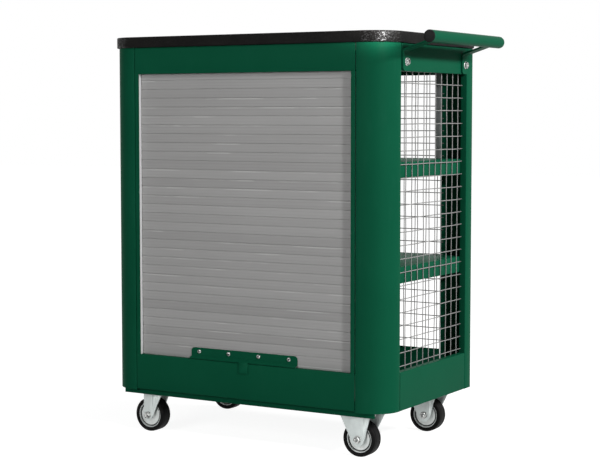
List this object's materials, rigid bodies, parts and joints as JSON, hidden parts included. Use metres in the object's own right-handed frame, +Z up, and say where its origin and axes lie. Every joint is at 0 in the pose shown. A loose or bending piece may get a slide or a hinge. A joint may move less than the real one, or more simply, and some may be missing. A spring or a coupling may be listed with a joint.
{
  "type": "roll front tool cabinet",
  "caption": "Mobile sheet-steel tool cabinet with a slatted roll front, wire-mesh sides and back, inner shelves, a worktop, a push handle and casters.",
  "frame": {"origin": "on the floor, under the centre of the overall footprint with the push handle included", "axes": "+X to the right along the front, towards the push handle; +Y from the roll front to the back; +Z up"},
  "size_m": [0.7792, 0.418, 0.871],
  "materials": {
    "frame_paint": "satin",
    "worktop": "pebbled",
    "slats": "matte",
    "track": "satin",
    "mesh_wire": "zinc plated",
    "zinc": "zinc plated",
    "tyre": "matte",
    "cap": "matte"
  },
  "bodies": {
    "cabinet": {"front_post_left": "frame_paint", "front_post_right": "frame_paint", "rear_post_left": "frame_paint", "rear_post_right": "frame_paint", "front_header": "frame_paint", "rear_header": "frame_paint", "side_header_left": "frame_paint", "side_header_right": "frame_paint", "front_kick": "frame_paint", "rear_kick": "frame_paint", "side_kick_left": "frame_paint", "side_kick_right": "frame_paint", "cabinet_floor": "frame_paint", "upper_shelf": "frame_paint", "lower_shelf": "frame_paint", "front_crossmember": "frame_paint", "rear_crossmember": "frame_paint", "shutter_jamb_left": "frame_paint", "shutter_jamb_right": "frame_paint", "push_handle": "frame_paint", "handle_bracket_front": "frame_paint", "handle_bracket_rear": "frame_paint", "worktop": "worktop", "shutter_slats": "slats", "shutter_track_left": "track", "shutter_track_right": "track", "side_mesh_left": "mesh_wire", "side_mesh_right": "mesh_wire", "rear_mesh": "mesh_wire", "push_handle_cap": "cap", "handle_bolts": "zinc", "caster_bolts": "zinc", "rigid_fork_front": "zinc", "rigid_axle_front": "zinc", "swivel_plate_front": "zinc", "swivel_kingpin_front": "zinc", "rigid_fork_rear": "zinc", "rigid_axle_rear": "zinc", "swivel_plate_rear": "zinc", "swivel_kingpin_rear": "zinc"},
    "shutter": {"shutter_bottom_rail": "slats", "shutter_pull": "frame_paint", "shutter_pull_screws": "zinc"},
    "front_swivel": {"swivel_fork_front": "zinc", "swivel_axle_front": "zinc"},
    "front_left_wheel": {"swivel_wheel_front": "zinc", "swivel_tyre_front": "tyre"},
    "front_right_wheel": {"rigid_wheel_front": "zinc", "rigid_tyre_front": "tyre"},
    "rear_swivel": {"swivel_fork_rear": "zinc", "swivel_axle_rear": "zinc"},
    "rear_left_wheel": {"swivel_wheel_rear": "zinc", "swivel_tyre_rear": "tyre"},
    "rear_right_wheel": {"rigid_wheel_rear": "zinc", "rigid_tyre_rear": "tyre"}
  },
  "joints": [
    {"name": "shutter_lift", "type": "slide", "parent": "cabinet", "child": "shutter", "axis": [0, 0, 1], "range_m": [0, 0.588], "deforming": ["shutter_slats"]},
    {"name": "front_swivel_turn", "type": "hinge", "parent": "cabinet", "child": "front_swivel", "pos_m": [-0.2786, -0.154, 0.085], "axis": [0, 0, 1], "continuous": true},
    {"name": "front_left_roll", "type": "hinge", "parent": "front_swivel", "child": "front_left_wheel", "pos_m": [-0.3066, -0.154, 0.0375], "axis": [0, 1, 0], "continuous": true},
    {"name": "front_right_roll", "type": "hinge", "parent": "cabinet", "child": "front_right_wheel", "pos_m": [0.2234, -0.154, 0.0375], "axis": [0, 1, 0], "continuous": true},
    {"name": "rear_swivel_turn", "type": "hinge", "parent": "cabinet", "child": "rear_swivel", "pos_m": [-0.2786, 0.154, 0.085], "axis": [0, 0, 1], "continuous": true},
    {"name": "rear_left_roll", "type": "hinge", "parent": "rear_swivel", "child": "rear_left_wheel", "pos_m": [-0.3066, 0.154, 0.0375], "axis": [0, 1, 0], "continuous": true},
    {"name": "rear_right_roll", "type": "hinge", "parent": "cabinet", "child": "rear_right_wheel", "pos_m": [0.2234, 0.154, 0.0375], "axis": [0, 1, 0], "continuous": true}
  ]
}
